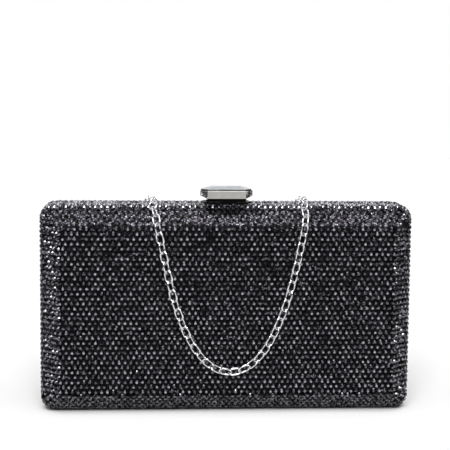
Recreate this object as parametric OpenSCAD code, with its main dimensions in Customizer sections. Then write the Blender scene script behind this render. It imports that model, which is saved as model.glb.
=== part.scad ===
// Crystal evening bag: a hard two-part box clutch that opens on two hinges
// under its base, with a jewelled push clasp on top and a short hand chain.
// Frame: X is the width, -Y is the front, Z is up. The origin is the middle
// of the base, in the seam plane between the two halves. Millimetres.

/* [Bag] */
// Width of the bag
bag_w = 200; // [190:1:220]
// Height of the bag without its clasp
bag_h = 112; // [110:1:120]
// Depth of the closed bag from front to back
bag_d = 45; // [45:0.5:48]
// Corner radius of the outline
corner_r = 7.5; // [6.5:0.5:9]
// Width and depth of the slanted edge round each panel
bevel = 10; // [9.5:0.1:10]

/* [Layers] */
// Thickness of the layer of set crystals
stone_t = 1.7; // [1.5:0.1:1.7]
// Thickness of the moulded shell
shell_t = 2; // [1.8:0.1:2]
// Thickness of the lining
lining_t = 0.8; // [0.6:0.1:0.8]
// Free gap between the two frames when the bag is shut
seam_gap = 0.3; // [0.3:0.1:0.4]

/* [Hinges] */
// Distance of each hinge from the middle
hinge_x = 55; // [45:1:65]
// Length of each hinge
hinge_l = 18; // [15:0.5:22]
// Radius of the hinge pins
pin_r = 0.75; // [0.6:0.05:0.8]
// Largest opening angle in degrees
open_angle = 60; // [40:1:60]

/* [Clasp] */
// Width of the clasp head
head_w = 28.4; // [26:0.2:30]
// Depth of the clasp head
head_d = 13; // [12.6:0.2:14]
// Height of the bezel's side
head_h = 4.4; // [4:0.1:5]
// Height of the cut stone above the bezel
crown_h = 2.5; // [2:0.1:3]
// Travel of the clasp when it is pressed
press = 1.5; // [1.4:0.1:1.5]

/* [Chain] */
// Outer width of one link
link_w = 5.2; // [5:0.1:5.2]
// Thickness of the link wire
link_wire = 1; // [0.9:0.05:1]

/* [Hidden] */
$fn = 48;
glue = 0.05;              // gap between stacked layers
half_d = bag_d / 2;
side_d = half_d - bevel;  // depth at which the slanted edge starts
side_r = 8;               // rounding between the side wall and the slant
face_r = 1;               // rounding between the slant and the flat panel
panel_i = bevel + 2;      // inset at which the sweep hands over to the flat panel
rim_d = 2.5;              // visible depth of each frame
rim_i = 0.5;              // how far the frames lie below the stones
rim_d0 = seam_gap / 2;
rim_d1 = rim_d0 + rim_d;
layer_d = rim_d1 + glue;  // where the shell and the crystals start
flange_t = 1;
flange_d = 8;
shell_i = stone_t + glue;
flange_i = shell_i + shell_t + glue;
inner_i = flange_i + flange_t;          // inset of the frame's inner face
lining_i = shell_i + shell_t + 2 * glue;
lining_d = flange_d + 2 * glue;

knuckle_r = 1.6;
pin_clear = 0.05;
leaf_t = 1;
leaf_z = inner_i + glue;
notch_clear = 0.45;
rivet_r = 0.8;
rivet_clear = 0.05;
rivet_head_r = 1.3;
rivet_head_h = 0.5;
hinge_rivet_x = 6;
hinge_rivet_d = 5.4;

top_z = bag_h - inner_i;    // underside of the frames at the top
plate_z = top_z - glue;     // top of the plates under the flanges
head_z = bag_h + 2.7;       // underside of the clasp head
bezel_cut = 3.8;            // cut of the head's corners
seat_wall = 0.55;           // bezel wall round the stone
seat_depth = 1.2;
seat_trim = 0.2;            // how much less the seat's corners are cut
thin = 0.01;
neck_w = 21.2;
neck_d = 10.4;
collar_wall = 1.4;
collar_gap = 0.3;
collar_h = 1;
blade_w = 8;
blade_t = 1;
blade_y = -4.5;
slot_clear = 0.4;
bracket_t = 1;
latch_rivet_x = 10;
latch_rivet_d = 5.4;
catch_rivet_x = 8.4;
catch_rivet_d = 5.4;
hook_y0 = -7.2;
hook_z = top_z - 5.4;       // underside of the hook
hook_t = 1.4;
hook_overlap = 1.1;         // how far the tooth stands behind the lip
lip_y = 1.2;
lip_t = 1.2;
lip_z = top_z - 3.1;        // lower edge of the catch lip
tooth_y = lip_y + lip_t + 0.3;
spring_r = 1.7;
spring_wire = 0.5;
spring_y = -5.4;
spring_turns = 5;
spring_z = hook_z - 5.3;

wire_r = link_wire / 2;
link_l = 7.4;               // outer length of one link
link_pitch = 5.2;
link_lean = 35;             // how far the flatter links lean from lying flat
over_z = bag_h - 10.5;      // height at which the links start to turn over the shoulder
over_h = 13;                // and how much higher they lie on top of it
panel_y = 9;                // distance before the seam where they start to face the front
panel_d = 16.5;             // and how much further on they face it wholly
loop_x = 41;                // distance of each chain loop from the middle
loop_wire_r = 0.45;
loop_y = -1.4;
loop_z = bag_h + 2.4;
loop_half = 3;
loop_bend = 1;
loop_depth = 1.5;
ring_r = 2.1;
ring_wire_r = 0.45;
ring_y = loop_y - 1.1;
ring_tilt = 40;

// Route of the chain from the left ring, over the shoulder, down the front
// panel in its natural sag, and back up to the right ring, on a bag of the
// height drape_h and half depth drape_d
drape_h = 112;
drape_d = 22.5;
shoulder_y = -16;           // points in front of this move with the panel
chain_drape = [
    [-41.0, -4.0, 114.4], [-40.8, -8.0, 114.9], [-40.4, -12.8, 114.4],
    [-39.8, -17.0, 112.2], [-38.9, -20.9, 108.6], [-38.0, -24.3, 105.0],
    [-37.3, -25.2, 101.0], [-35.8, -24.9, 94.0], [-33.6, -24.9, 84.0],
    [-31.6, -24.9, 75.0], [-29.0, -24.9, 64.0], [-26.0, -24.9, 54.5],
    [-22.0, -24.9, 44.5], [-18.0, -24.9, 37.2], [-13.0, -24.9, 30.7],
    [-8.0, -24.9, 26.5], [-3.0, -24.9, 24.2], [2.0, -24.9, 23.5],
    [7.0, -24.9, 24.4], [12.0, -24.9, 27.1], [17.0, -24.9, 31.7],
    [21.0, -24.9, 37.2], [25.0, -24.9, 44.7], [29.0, -24.9, 54.5],
    [32.0, -24.9, 63.5], [34.8, -24.9, 74.5], [37.0, -24.9, 84.0],
    [38.8, -24.9, 93.5], [40.3, -25.2, 101.0], [40.8, -24.3, 105.0],
    [41.0, -20.9, 108.6], [41.1, -17.0, 112.2], [41.1, -12.8, 114.4],
    [41.0, -8.0, 114.9], [41.0, -4.0, 114.4]
];
chain_route = [
    for (p = chain_drape)
        [p[0], p[1] + (p[1] < shoulder_y ? drape_d - half_d : 0), p[2] + bag_h - drape_h]
];

// ---- Helpers -------------------------------------------------------------

// Rounded stretch of a wall section, as [inset, depth] points
function bend(mid, r, a0, a1, steps) = [
    for (k = [0:steps])
        let (a = a0 + (a1 - a0) * k / steps)
        [mid[0] - r * cos(a), mid[1] + r * sin(a)]
];

// Line of a wall that lies t inside the outer surface and starts at depth d
function wall_line(t, d) = concat(
    [[t, d]],
    bend([side_r, side_d - side_r * tan(22.5)], side_r - t, 0, 45, 4),
    t < face_r
        ? bend([bevel + face_r * tan(22.5), half_d - face_r], face_r - t, 45, 90, 2)
        : [[bevel + t * tan(22.5), half_d - t]],
    [[panel_i, half_d - t]]
);

// Part of a section on the outer side of the corner's axis
function outer_part(p) = [
    for (k = [0:len(p) - 1])
        let (a = p[k], b = p[(k + 1) % len(p)])
        each concat(
            a[0] >= 0 ? [a] : [],
            a[0] * b[0] < 0 ? [a + (b - a) * a[0] / (a[0] - b[0])] : []
        )
];

// Sweeps a section of [inset, depth] points round the bag's outline
module outline_sweep(section) {
    x = bag_w / 2 - corner_r;
    corners = [
        [x, bag_h - corner_r, bag_h - 2 * corner_r],
        [-x, bag_h - corner_r, 2 * x],
        [-x, corner_r, bag_h - 2 * corner_r],
        [x, corner_r, 2 * x]
    ];
    points = [for (p = section) [corner_r - p[0], p[1]]];
    inward = max([for (p = points) -p[0]]);
    for (k = [0:3])
        translate([corners[k][0], corners[k][1], 0])
            rotate([0, 0, 90 * k]) {
                rotate_extrude(angle = 90)
                    polygon(outer_part(points));
                if (inward > 0)
                    intersection() {
                        side_run(points, corners[k][2]);
                        mitre(corners[k][2], inward);
                    }
                else
                    side_run(points, corners[k][2]);
            }
}

// Straight run of a section along one side
module side_run(points, run_l) {
    rotate([90, 0, 0])
        linear_extrude(run_l)
            polygon(points);
}

// Room of one side between the two mitres that start at the corners' axes
module mitre(run_l, inward) {
    out = corner_r + 1;
    translate([0, 0, -1])
        linear_extrude(half_d + 2)
            polygon([
                [out, 0], [0, 0], [-inward, -inward],
                [-inward, inward - run_l], [0, -run_l], [out, -run_l]
            ]);
}

// Stands a shape drawn in width, height and depth up as the front half
module stand() {
    rotate([90, 0, 0])
        children();
}

// The same for the rear half
module stand_rear() {
    mirror([0, 1, 0])
        stand()
            children();
}

// Tray between the surfaces t0 and t1 inside the outer surface
module tray(t0, t1, d) {
    outer = wall_line(t0, d);
    inner = wall_line(t1, d);
    back = [for (k = [len(inner) - 1:-1:0]) inner[k]];
    outline_sweep(concat(outer, back));
    translate([panel_i - bag_w / 2, panel_i, half_d - t1])
        cube([bag_w - 2 * panel_i, bag_h - 2 * panel_i, t1 - t0]);
}

// Slot through the top wall for the clasp's blade
module blade_slot() {
    translate([-blade_w / 2 - slot_clear, top_z - 1, -blade_y - blade_t / 2 - slot_clear])
        cube([blade_w + 2 * slot_clear, inner_i + 2, blade_t + 2 * slot_clear]);
}

// Block with two opposite corners at a and b
module block(a, b) {
    translate(a)
        cube(b - a);
}

// ---- Body of the bag -----------------------------------------------------

module crystal_cover() {
    color([0.17, 0.17, 0.19])
        tray(0, stone_t, layer_d);
}

module front_crystal_cover() {
    stand()
        difference() {
            crystal_cover();
            blade_slot();
        }
}

module rear_crystal_cover() {
    stand_rear()
        crystal_cover();
}

module shell() {
    color([0.08, 0.08, 0.09])
        tray(shell_i, shell_i + shell_t, layer_d);
}

module front_shell() {
    stand()
        difference() {
            shell();
            blade_slot();
        }
}

module rear_shell() {
    stand_rear()
        shell();
}

module lining() {
    color([0.12, 0.12, 0.13])
        tray(lining_i, lining_i + lining_t, lining_d);
}

module front_lining() {
    stand()
        lining();
}

module rear_lining() {
    stand_rear()
        lining();
}

// Rim with an inner flange, notched for the hinges and chamfered under the
// hinge axis so that the halves can turn
module frame_half() {
    chamfer_a = open_angle / 2 + 2;
    drop = knuckle_r + 1;
    color([0.36, 0.36, 0.39])
        difference() {
            outline_sweep([
                [rim_i, rim_d0], [inner_i, rim_d0], [inner_i, flange_d],
                [flange_i, flange_d], [flange_i, rim_d1], [rim_i, rim_d1]
            ]);
            for (s = [-1, 1])
                hinge_cut(s * hinge_x);
            translate([-bag_w / 2, 0, 0])
                rotate([90, 0, 90])
                    linear_extrude(bag_w)
                        polygon([
                            [-1, -1], [knuckle_r, -1], [knuckle_r, 2 * rim_d0],
                            [knuckle_r - drop, 2 * rim_d0 + drop * tan(chamfer_a)],
                            [-1, 2 * rim_d0 + drop * tan(chamfer_a)]
                        ]);
        }
}

// Notch for one hinge, with the rivet holes of its leaf
module hinge_cut(x) {
    half_l = hinge_l / 2 + notch_clear;
    translate([x - half_l, -1, -1])
        cube([2 * half_l, inner_i + 2, knuckle_r + notch_clear + 1]);
    for (s = [-1, 1])
        translate([x + s * hinge_rivet_x, flange_i - 1, hinge_rivet_d])
            rotate([-90, 0, 0])
                cylinder(r = rivet_r + rivet_clear, h = flange_t + 2);
}

// Two rivet holes in the flange at the top
module top_rivet_holes(x, d) {
    for (s = [-1, 1])
        translate([s * x, top_z - 1, d])
            rotate([-90, 0, 0])
                cylinder(r = rivet_r + rivet_clear, h = flange_t + 2);
}

module front_frame() {
    stand()
        difference() {
            frame_half();
            blade_slot();
            top_rivet_holes(latch_rivet_x, latch_rivet_d);
            for (s = [-1, 1], e = [-1, 1])
                translate([s * loop_x + e * loop_half, bag_h - loop_depth, -loop_y])
                    rotate([-90, 0, 0])
                        cylinder(r = loop_wire_r + pin_clear, h = loop_depth + 1);
        }
}

module rear_frame() {
    stand_rear()
        difference() {
            frame_half();
            top_rivet_holes(catch_rivet_x, catch_rivet_d);
        }
}

// Flat pocket of lining cloth on the rear wall
module slip_pocket() {
    pocket_w = 110;
    pocket_z0 = 16;
    pocket_z1 = 72;
    pocket_t = 0.8;
    pocket_y = half_d - lining_i - lining_t - glue;
    color([0.1, 0.1, 0.11])
        block(
            [-pocket_w / 2, pocket_y - pocket_t, pocket_z0],
            [pocket_w / 2, pocket_y, pocket_z1]
        );
}

// Folded side gusset, kept as the wedge of space that its pleats fill
module gusset() {
    side_x = bag_w / 2 - inner_i - 0.3;
    half_y = 7;
    low_z = 10;
    high_z = bag_h - 12;
    fold_low = 4;           // how far the pleats reach in at the bottom
    fold_high = 20;         // and at the top
    color([0.1, 0.1, 0.11])
        translate([0, half_y, 0])
            rotate([90, 0, 0])
                linear_extrude(2 * half_y)
                    polygon([
                        [side_x, low_z], [side_x, high_z],
                        [side_x - fold_high, high_z], [side_x - fold_low, low_z]
                    ]);
}

module gusset_right() {
    gusset();
}

module gusset_left() {
    mirror([1, 0, 0])
        gusset();
}

// ---- Hinges --------------------------------------------------------------

// One knuckle between x0 and x1 with its bore
module knuckle(x0, x1, bore_r) {
    translate([x0, 0, knuckle_r])
        rotate([0, 90, 0])
            difference() {
                cylinder(r = knuckle_r, h = x1 - x0);
                translate([0, 0, -1])
                    cylinder(r = bore_r, h = x1 - x0 + 2);
            }
}

// Leaf in front of the seam, with knuckles on the given stretches
module hinge_leaf(stretches, bore_r) {
    web_y = 0.35;
    web_z = 2 * knuckle_r + 0.3;
    half_l = hinge_l / 2;
    difference() {
        union() {
            for (s = stretches) {
                knuckle(s[0], s[1], bore_r);
                difference() {
                    block([s[0], -web_y - leaf_t, knuckle_r], [s[1], -web_y, web_z + 0.1]);
                    translate([s[0] - 1, 0, knuckle_r])
                        rotate([0, 90, 0])
                            cylinder(r = bore_r, h = s[1] - s[0] + 2);
                }
            }
            block([-half_l, -web_y - leaf_t, web_z], [half_l, -web_y, leaf_z + leaf_t]);
            block([-half_l, -flange_d, leaf_z], [half_l, -web_y, leaf_z + leaf_t]);
        }
        for (s = [-1, 1])
            translate([s * hinge_rivet_x, -hinge_rivet_d, leaf_z - 1])
                cylinder(r = rivet_r + rivet_clear, h = leaf_t + 2);
    }
}

module front_hinge_leaves() {
    mid = hinge_l / 6 - 0.1;
    color([0.45, 0.45, 0.47])
        for (s = [-1, 1])
            translate([s * hinge_x, 0, 0])
                hinge_leaf([[-mid, mid]], pin_r + pin_clear);
}

module rear_hinge_leaves() {
    inner = hinge_l / 6 + 0.1;
    outer = hinge_l / 2;
    color([0.45, 0.45, 0.47])
        for (s = [-1, 1])
            translate([s * hinge_x, 0, 0])
                mirror([0, 1, 0])
                    hinge_leaf([[-outer, -inner], [inner, outer]], pin_r + 0.01);
}

module hinge_pin(x) {
    color([0.6, 0.6, 0.62])
        translate([x - hinge_l / 2 - 0.2, 0, knuckle_r])
            rotate([0, 90, 0])
                cylinder(r = pin_r, h = hinge_l + 0.4);
}

module hinge_pin_left() {
    hinge_pin(-hinge_x);
}

module hinge_pin_right() {
    hinge_pin(hinge_x);
}

// Rivet with its shank up from the origin and its head on top of the grip
module rivet(grip) {
    cylinder(r = rivet_r, h = grip);
    translate([0, 0, grip])
        cylinder(r = rivet_head_r, h = rivet_head_h);
}

module hinge_rivets() {
    color([0.55, 0.55, 0.57])
        for (s = [-1, 1], e = [-1, 1])
            translate([s * hinge_x + e * hinge_rivet_x, -hinge_rivet_d, flange_i])
                rivet(leaf_z + leaf_t - flange_i);
}

module front_hinge_rivets() {
    hinge_rivets();
}

module rear_hinge_rivets() {
    mirror([0, 1, 0])
        hinge_rivets();
}

// ---- Clasp ---------------------------------------------------------------

// Long octagon, w wide and d deep, with its corners cut off by c
module octagon(w, d, c) {
    x = w / 2;
    y = d / 2;
    polygon([
        [x, y - c], [x - c, y], [c - x, y], [-x, y - c],
        [-x, c - y], [c - x, -y], [x - c, -y], [x, c - y]
    ]);
}

// Slab of that octagon between two heights
module octagon_slab(w, d, c, z0, z1) {
    translate([0, 0, z0])
        linear_extrude(z1 - z0)
            octagon(w, d, c);
}

module clasp_bezel() {
    taper_w = 3.2;          // how far each end is drawn in underneath
    taper_d = 0.3;          // and the front and back
    taper_h = 1.6;
    color([0.75, 0.74, 0.73])
        difference() {
            hull() {
                octagon_slab(
                    head_w - 2 * taper_w, head_d - 2 * taper_d, bezel_cut - taper_w,
                    head_z, head_z + thin
                );
                octagon_slab(head_w, head_d, bezel_cut, head_z + taper_h, head_z + head_h);
            }
            octagon_slab(
                head_w - 2 * seat_wall, head_d - 2 * seat_wall, bezel_cut - seat_trim,
                head_z + head_h - seat_depth, head_z + head_h + 1
            );
        }
}

module clasp_gem() {
    gem_w = head_w - 2 * seat_wall - 2 * glue;
    gem_d = head_d - 2 * seat_wall - 2 * glue;
    gem_cut = bezel_cut - seat_trim;
    seat_z = head_z + head_h - seat_depth + glue;
    girdle_z = head_z + head_h + 0.1;
    step_w = gem_w - 6;
    step_d = gem_d - 3.6;
    step_cut = gem_cut - 0.8;
    step_z = girdle_z + 0.6 * (crown_h - 0.1);
    table_w = gem_w - 12.2;
    table_d = gem_d - 6.4;
    table_cut = gem_cut - 1.8;
    table_z = head_z + head_h + crown_h;
    color([0.6, 0.6, 0.62])
        union() {
            octagon_slab(gem_w, gem_d, gem_cut, seat_z, girdle_z);
            hull() {
                octagon_slab(gem_w, gem_d, gem_cut, girdle_z - thin, girdle_z);
                octagon_slab(step_w, step_d, step_cut, step_z - thin, step_z);
            }
            hull() {
                octagon_slab(step_w, step_d, step_cut, step_z - thin, step_z);
                octagon_slab(table_w, table_d, table_cut, table_z - thin, table_z);
            }
        }
}

// Black neck under the head with the blade that runs down through the frame
module clasp_stem() {
    neck_z = bag_h + press + 0.15;
    color([0.05, 0.05, 0.06])
        union() {
            block([-neck_w / 2, -neck_d / 2, neck_z], [neck_w / 2, neck_d / 2, head_z]);
            block(
                [-blade_w / 2, blade_y - blade_t / 2, hook_z + hook_t],
                [blade_w / 2, blade_y + blade_t / 2, neck_z]
            );
        }
}

module clasp_collar() {
    in_w = neck_w + 2 * collar_gap;
    in_d = neck_d + 2 * collar_gap;
    foot_z = bag_h + glue;
    collar_cut = 1.6;
    color([0.05, 0.05, 0.06])
        difference() {
            octagon_slab(
                in_w + 2 * collar_wall, in_d + 2 * collar_wall, collar_cut,
                foot_z, foot_z + collar_h
            );
            block([-in_w / 2, -in_d / 2, bag_h - 1], [in_w / 2, in_d / 2, bag_h + collar_h + 1]);
        }
}

// Hook that the blade carries: a block, an arm under both frames and a tooth
module latch_hook() {
    block_half = 5.5;
    block_y = -3;           // rear face of the block
    block_rise = 1.6;       // height of the block above the arm
    arm_half = 4.5;
    arm_y = -4;
    arm_z = hook_z + hook_t;
    tooth_t = 2;
    tooth_lead = 0.5;       // how far the tooth's point is set back from its face
    tooth_z = lip_z + hook_overlap;
    color([0.5, 0.5, 0.52])
        difference() {
            union() {
                block([-block_half, hook_y0, hook_z], [block_half, block_y, arm_z + block_rise]);
                translate([-arm_half, 0, 0])
                    rotate([90, 0, 90])
                        linear_extrude(2 * arm_half)
                            polygon([
                                [arm_y, hook_z], [tooth_y + tooth_t, hook_z], [tooth_y + tooth_t, arm_z],
                                [tooth_y + tooth_lead, tooth_z], [tooth_y, tooth_z],
                                [tooth_y, arm_z], [arm_y, arm_z]
                            ]);
            }
            block(
                [-blade_w / 2, blade_y - blade_t / 2, arm_z],
                [blade_w / 2, blade_y + blade_t / 2, arm_z + 3]
            );
        }
}

// Stirrup under the front frame that guides the hook and seats the spring
module latch_housing() {
    plate_half = 12;
    cheek_x = 6;
    y0 = -flange_d;
    y1 = -2.9;
    color([0.45, 0.45, 0.47])
        difference() {
            union() {
                block([-plate_half, y0, plate_z - bracket_t], [plate_half, y1, plate_z]);
                for (s = [-1, 1])
                    translate([s * (cheek_x + bracket_t / 2), 0, 0])
                        block([-bracket_t / 2, y0, spring_z - bracket_t], [bracket_t / 2, y1, plate_z]);
                block([-cheek_x - 0.5, y0, spring_z - bracket_t], [cheek_x + 0.5, y1, spring_z]);
            }
            block(
                [-blade_w / 2 - slot_clear, blade_y - blade_t / 2 - slot_clear, plate_z - bracket_t - 1],
                [blade_w / 2 + slot_clear, blade_y + blade_t / 2 + slot_clear, plate_z + 1]
            );
            for (s = [-1, 1])
                translate([s * latch_rivet_x, -latch_rivet_d, plate_z - bracket_t - 1])
                    cylinder(r = rivet_r + rivet_clear, h = bracket_t + 2);
        }
}

// Two rivets that hang a plate under the flange at the top
module top_rivets(x, y) {
    color([0.55, 0.55, 0.57])
        for (s = [-1, 1])
            translate([s * x, y, bag_h - flange_i])
                mirror([0, 0, 1])
                    rivet(flange_t + glue + bracket_t);
}

module latch_rivets() {
    top_rivets(latch_rivet_x, -latch_rivet_d);
}

module catch_plate() {
    plate_half = 10.4;
    lip_half = 7;
    color([0.45, 0.45, 0.47])
        difference() {
            union() {
                block([-plate_half, lip_y, plate_z - bracket_t], [plate_half, flange_d, plate_z]);
                block([-lip_half, lip_y, lip_z], [lip_half, lip_y + lip_t, plate_z]);
            }
            for (s = [-1, 1])
                translate([s * catch_rivet_x, catch_rivet_d, plate_z - bracket_t - 1])
                    cylinder(r = rivet_r + rivet_clear, h = bracket_t + 2);
        }
}

module catch_rivets() {
    top_rivets(catch_rivet_x, catch_rivet_d);
}

// Closed tube of radius r along a list of points that climbs in z
module coil_wire(points, r, sides) {
    n = len(points);
    rings = [
        for (k = [0:n - 1])
            let (
                a = points[max(k - 1, 0)],
                b = points[min(k + 1, n - 1)],
                dir = (b - a) / norm(b - a),
                u = cross([0, 0, 1], dir) / norm(cross([0, 0, 1], dir)),
                v = cross(dir, u)
            )
            for (j = [0:sides - 1])
                points[k] + r * (cos(360 * j / sides) * u + sin(360 * j / sides) * v)
    ];
    faces = concat(
        [[for (j = [sides - 1:-1:0]) j]],
        [
            for (k = [0:n - 2], j = [0:sides - 1])
                let (m = (j + 1) % sides)
                [k * sides + j, k * sides + m, (k + 1) * sides + m, (k + 1) * sides + j]
        ],
        [[for (j = [0:sides - 1]) (n - 1) * sides + j]]
    );
    polyhedron(rings, faces);
}

module clasp_spring() {
    z0 = spring_z + spring_wire / 2 + glue;
    z1 = hook_z - spring_wire / 2 - glue;
    steps = 12 * spring_turns;
    points = [
        for (k = [0:steps])
            [
                spring_r * cos(360 * spring_turns * k / steps),
                spring_y + spring_r * sin(360 * spring_turns * k / steps),
                z0 + (z1 - z0) * k / steps
            ]
    ];
    color([0.7, 0.7, 0.72])
        coil_wire(points, spring_wire / 2, 8);
}

// ---- Chain ---------------------------------------------------------------

// Wire staple set in the front frame that holds one end of the chain
module chain_loop() {
    leg_z = bag_h - loop_depth + glue;
    color([0.6, 0.6, 0.63])
        for (s = [-1, 1])
            translate([0, loop_y, 0]) {
                translate([s * loop_half, 0, leg_z])
                    cylinder(r = loop_wire_r, h = loop_z - loop_bend - leg_z);
                translate([s * (loop_half - loop_bend), 0, loop_z - loop_bend])
                    rotate([90, 0, 0])
                        rotate([0, 0, s > 0 ? 0 : 90])
                            rotate_extrude(angle = 90)
                                translate([loop_bend, 0])
                                    circle(r = loop_wire_r);
                translate([0, 0, loop_z])
                    rotate([0, s * 90, 0])
                        cylinder(r = loop_wire_r, h = loop_half - loop_bend);
            }
}

module chain_loop_left() {
    translate([-loop_x, 0, 0])
        chain_loop();
}

module chain_loop_right() {
    translate([loop_x, 0, 0])
        chain_loop();
}

// Jump ring that leans on the loop's bar
module chain_ring(x) {
    color([0.6, 0.6, 0.63])
        translate([x, ring_y, loop_z])
            rotate([0, 90 - ring_tilt, 0])
                rotate_extrude()
                    translate([ring_r, 0])
                        circle(r = ring_wire_r);
}

module chain_ring_left() {
    chain_ring(-loop_x);
}

module chain_ring_right() {
    chain_ring(loop_x);
}

// Length of the route up to its point k
function run(k) = k == 0 ? 0 : run(k - 1) + norm(chain_route[k] - chain_route[k - 1]);

runs = [for (k = [0:len(chain_route) - 1]) run(k)];
chain_length = runs[len(runs) - 1];
link_count = round(chain_length / link_pitch);

// Point of the route at length s
function route_at(s, k = 1) =
    k == len(runs) - 1 || s <= runs[k]
        ? let (t = (s - runs[k - 1]) / (runs[k] - runs[k - 1]))
            chain_route[k - 1] + t * (chain_route[k] - chain_route[k - 1])
        : route_at(s, k + 1);

function clamp(v) = min(max(v, 0), 1);

// Oval link of round wire, lying in XY with its length along X
module link() {
    r = link_w / 2 - wire_r;
    straight = link_l - link_w;
    for (s = [0, 1])
        rotate([0, 0, 180 * s]) {
            translate([straight / 2, 0, 0])
                rotate([0, 0, -90])
                    rotate_extrude(angle = 180)
                        translate([r, 0])
                            circle(r = wire_r);
            translate([-straight / 2, r, 0])
                rotate([0, 90, 0])
                    cylinder(r = wire_r, h = straight);
        }
}

// Each link spans one pitch and is turned a quarter turn from the last
module chain_links() {
    step = chain_length / link_count;
    color([0.6, 0.6, 0.63])
        for (k = [0:link_count - 1]) {
            a = route_at(k * step);
            b = route_at((k + 1) * step);
            mid = (a + b) / 2;
            dir = (b - a) / norm(b - a);
            rise = -asin(dir[2]);
            turn = atan2(dir[1], dir[0]);
            over = clamp((mid[2] - over_z) / over_h);
            out = [0, -clamp((-mid[1] - panel_y) / panel_d), over];
            across = [-sin(turn), cos(turn), 0];
            up = [sin(rise) * cos(turn), sin(rise) * sin(turn), cos(rise)];
            flat_roll = atan2(-out * across, out * up);
            roll = flat_roll + link_lean - 90 * (k % 2);
            translate(mid)
                rotate([roll, rise, turn])
                    link();
        }
}

front_crystal_cover();
front_shell();
front_lining();
front_frame();
rear_crystal_cover();
rear_shell();
rear_lining();
rear_frame();
slip_pocket();
gusset_left();
gusset_right();
front_hinge_leaves();
rear_hinge_leaves();
hinge_pin_left();
hinge_pin_right();
front_hinge_rivets();
rear_hinge_rivets();
clasp_bezel();
clasp_gem();
clasp_stem();
latch_hook();
clasp_collar();
latch_housing();
latch_rivets();
clasp_spring();
catch_plate();
catch_rivets();
chain_loop_left();
chain_loop_right();
chain_ring_left();
chain_ring_right();
chain_links();
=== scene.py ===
import math
import random

import bpy
import numpy as np
from mathutils import Matrix, Vector, noise


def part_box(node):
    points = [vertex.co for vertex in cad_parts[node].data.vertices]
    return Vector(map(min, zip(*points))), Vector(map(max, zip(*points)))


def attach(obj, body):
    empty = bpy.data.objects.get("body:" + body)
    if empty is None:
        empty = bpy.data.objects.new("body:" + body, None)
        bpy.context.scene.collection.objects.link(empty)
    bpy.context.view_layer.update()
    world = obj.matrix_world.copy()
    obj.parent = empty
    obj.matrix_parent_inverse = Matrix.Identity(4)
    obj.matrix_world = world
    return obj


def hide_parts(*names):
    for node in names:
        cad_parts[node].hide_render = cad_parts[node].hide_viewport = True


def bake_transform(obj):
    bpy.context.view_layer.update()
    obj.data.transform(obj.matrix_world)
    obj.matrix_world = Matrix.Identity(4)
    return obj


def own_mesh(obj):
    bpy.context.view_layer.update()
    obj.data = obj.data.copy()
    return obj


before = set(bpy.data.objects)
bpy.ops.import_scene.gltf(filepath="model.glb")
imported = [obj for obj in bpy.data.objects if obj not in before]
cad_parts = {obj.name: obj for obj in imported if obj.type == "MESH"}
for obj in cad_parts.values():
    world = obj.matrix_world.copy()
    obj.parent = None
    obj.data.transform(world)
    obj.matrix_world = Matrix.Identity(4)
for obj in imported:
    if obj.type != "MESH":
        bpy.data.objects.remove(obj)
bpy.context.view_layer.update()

mm = 0.001
random.seed(12)


# small helpers

def startFresh():
    if bpy.context.mode != "OBJECT":
        bpy.ops.object.mode_set(mode="OBJECT")
    bpy.ops.object.select_all(action="DESELECT")


def named(name):
    piece = bpy.context.object
    piece.name = name
    piece.data.name = name
    return piece


def makeActive(piece):
    startFresh()
    piece.select_set(True)
    bpy.context.view_layer.objects.active = piece


def settle(piece):  # place, turn and size go into the mesh
    makeActive(piece)
    bpy.ops.object.transform_apply(location=True, rotation=True, scale=True)
    return piece


def pickEdges(piece, test):  # enters edit mode with the edges whose two ends pass the test
    makeActive(piece)
    mesh = piece.data
    bpy.ops.object.mode_set(mode="EDIT")
    bpy.ops.mesh.select_mode(type="EDGE")
    bpy.ops.mesh.select_all(action="DESELECT")
    bpy.ops.object.mode_set(mode="OBJECT")
    for edge in mesh.edges:
        a, b = (mesh.vertices[k].co for k in edge.vertices)
        edge.select = bool(test(a, b))
    bpy.ops.object.mode_set(mode="EDIT")


def pickFaces(piece, test):  # the same with faces, by centre and normal
    makeActive(piece)
    mesh = piece.data
    bpy.ops.object.mode_set(mode="EDIT")
    bpy.ops.mesh.select_mode(type="FACE")
    bpy.ops.mesh.select_all(action="DESELECT")
    bpy.ops.object.mode_set(mode="OBJECT")
    for face in mesh.polygons:
        face.select = bool(test(face.center, face.normal))
    bpy.ops.object.mode_set(mode="EDIT")


def share(value, start, span):  # how far a value is along a span, from 0 to 1
    return min(max((value - start) / span, 0), 1)


def leaveEdit():
    bpy.ops.object.mode_set(mode="OBJECT")


def applyModifier(piece, kind, **options):
    makeActive(piece)
    modifier = piece.modifiers.new(kind.title(), kind)
    for key, value in options.items():
        setattr(modifier, key, value)
    bpy.ops.object.modifier_apply(modifier=modifier.name)


def smoothByAngle(piece, degrees):
    makeActive(piece)
    bpy.ops.object.shade_smooth_by_angle(angle=math.radians(degrees))


def mirroredCopy(piece, name):  # the same piece on the rear half, turned right way out
    twin = piece.copy()
    twin.data = piece.data.copy()
    twin.name = name
    twin.data.name = name
    bpy.context.collection.objects.link(twin)
    twin.data.transform(Matrix.Diagonal((1, -1, 1, 1)))
    twin.data.flip_normals()
    return twin


def dress(piece, material, body, slotName, *nodes):
    piece.data.materials.clear()
    piece.data.materials.append(material)
    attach(piece, body)
    if nodes:
        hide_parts(*nodes)
    return piece


# sizes read from the frame

coverLow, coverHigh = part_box("front_crystal_cover")
liningLow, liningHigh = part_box("front_lining")
bezelLow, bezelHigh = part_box("clasp_bezel")
gemLow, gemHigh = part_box("clasp_gem")

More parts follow.
